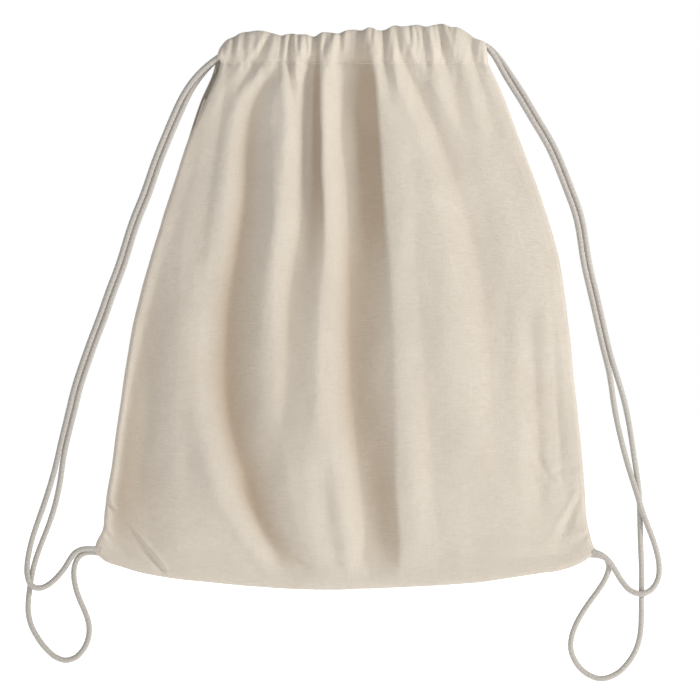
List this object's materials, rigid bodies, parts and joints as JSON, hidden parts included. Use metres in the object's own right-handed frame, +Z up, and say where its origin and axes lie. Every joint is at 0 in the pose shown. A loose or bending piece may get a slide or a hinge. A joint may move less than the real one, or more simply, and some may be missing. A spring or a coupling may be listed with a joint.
{
  "type": "drawstring backpack",
  "caption": "Soft flat cotton drawstring backpack: a gathered mouth with a tunnel hem and round drawcords that run to the bottom corners as shoulder straps.",
  "frame": {"origin": "the middle of the bottom seam, between the two panels", "axes": "+Z up towards the mouth, front of the bag faces -Y, +X to the right seen from the front"},
  "size_m": [0.4816, 0.0347, 0.4898],
  "materials": {
    "cloth": "matt plain-weave unbleached cotton",
    "cord": "matt braided cotton cord",
    "thread": "matt sewing thread"
  },
  "bodies": {
    "bag": {"front_panel": "cloth", "back_panel": "cloth", "front_casing": "cloth", "back_casing": "cloth", "front_casing_stitch": "thread", "back_casing_stitch": "thread", "bottom_seam": "cloth", "left_corner_tack": "thread", "right_corner_tack": "thread", "left_cord_casing_run": "cord", "right_cord_casing_run": "cord"},
    "left_side": {"left_side_seam": "cloth"},
    "right_side": {"right_side_seam": "cloth"},
    "left_strap": {"left_cord_outer_strand": "cord", "left_cord_inner_strand": "cord"},
    "right_strap": {"right_cord_outer_strand": "cord", "right_cord_inner_strand": "cord"},
    "left_loop": {"left_cord_hanging_loop": "cord", "left_cord_outer_tail": "cord"},
    "right_loop": {"right_cord_hanging_loop": "cord", "right_cord_outer_tail": "cord"}
  },
  "joints": [
    {"name": "left_mouth_draw", "type": "hinge", "parent": "bag", "child": "left_side", "pos_m": [-0.1945, 0, 0.0295], "axis": [0, 1, 0], "range_deg": [-13.6, 9], "deforming": ["front_panel", "back_panel", "front_casing", "back_casing", "front_casing_stitch", "back_casing_stitch", "left_cord_casing_run", "right_cord_casing_run"]},
    {"name": "right_mouth_draw", "type": "hinge", "parent": "bag", "child": "right_side", "pos_m": [0.1885, 0, 0.0285], "axis": [0, 1, 0], "range_deg": [-9, 13.6]},
    {"name": "left_strap_swing", "type": "hinge", "parent": "left_side", "child": "left_strap", "pos_m": [-0.1945, 0, 0.0295], "axis": [0.2369, 0, 0.9715], "range_deg": [-100, 100]},
    {"name": "right_strap_swing", "type": "hinge", "parent": "right_side", "child": "right_strap", "pos_m": [0.1885, 0, 0.0285], "axis": [-0.2168, 0, 0.9762], "range_deg": [-100, 100]},
    {"name": "left_loop_swing", "type": "hinge", "parent": "left_strap", "child": "left_loop", "pos_m": [-0.1945, 0, 0.0295], "axis": [0.8918, 0, 0.4524], "range_deg": [-70, 70]},
    {"name": "right_loop_swing", "type": "hinge", "parent": "right_strap", "child": "right_loop", "pos_m": [0.1885, 0, 0.0285], "axis": [0.9139, 0, -0.4059], "range_deg": [-70, 70]}
  ],
  "couplings": [
    {"joint": "right_mouth_draw", "follows": "left_mouth_draw", "ratio": -1}
  ]
}
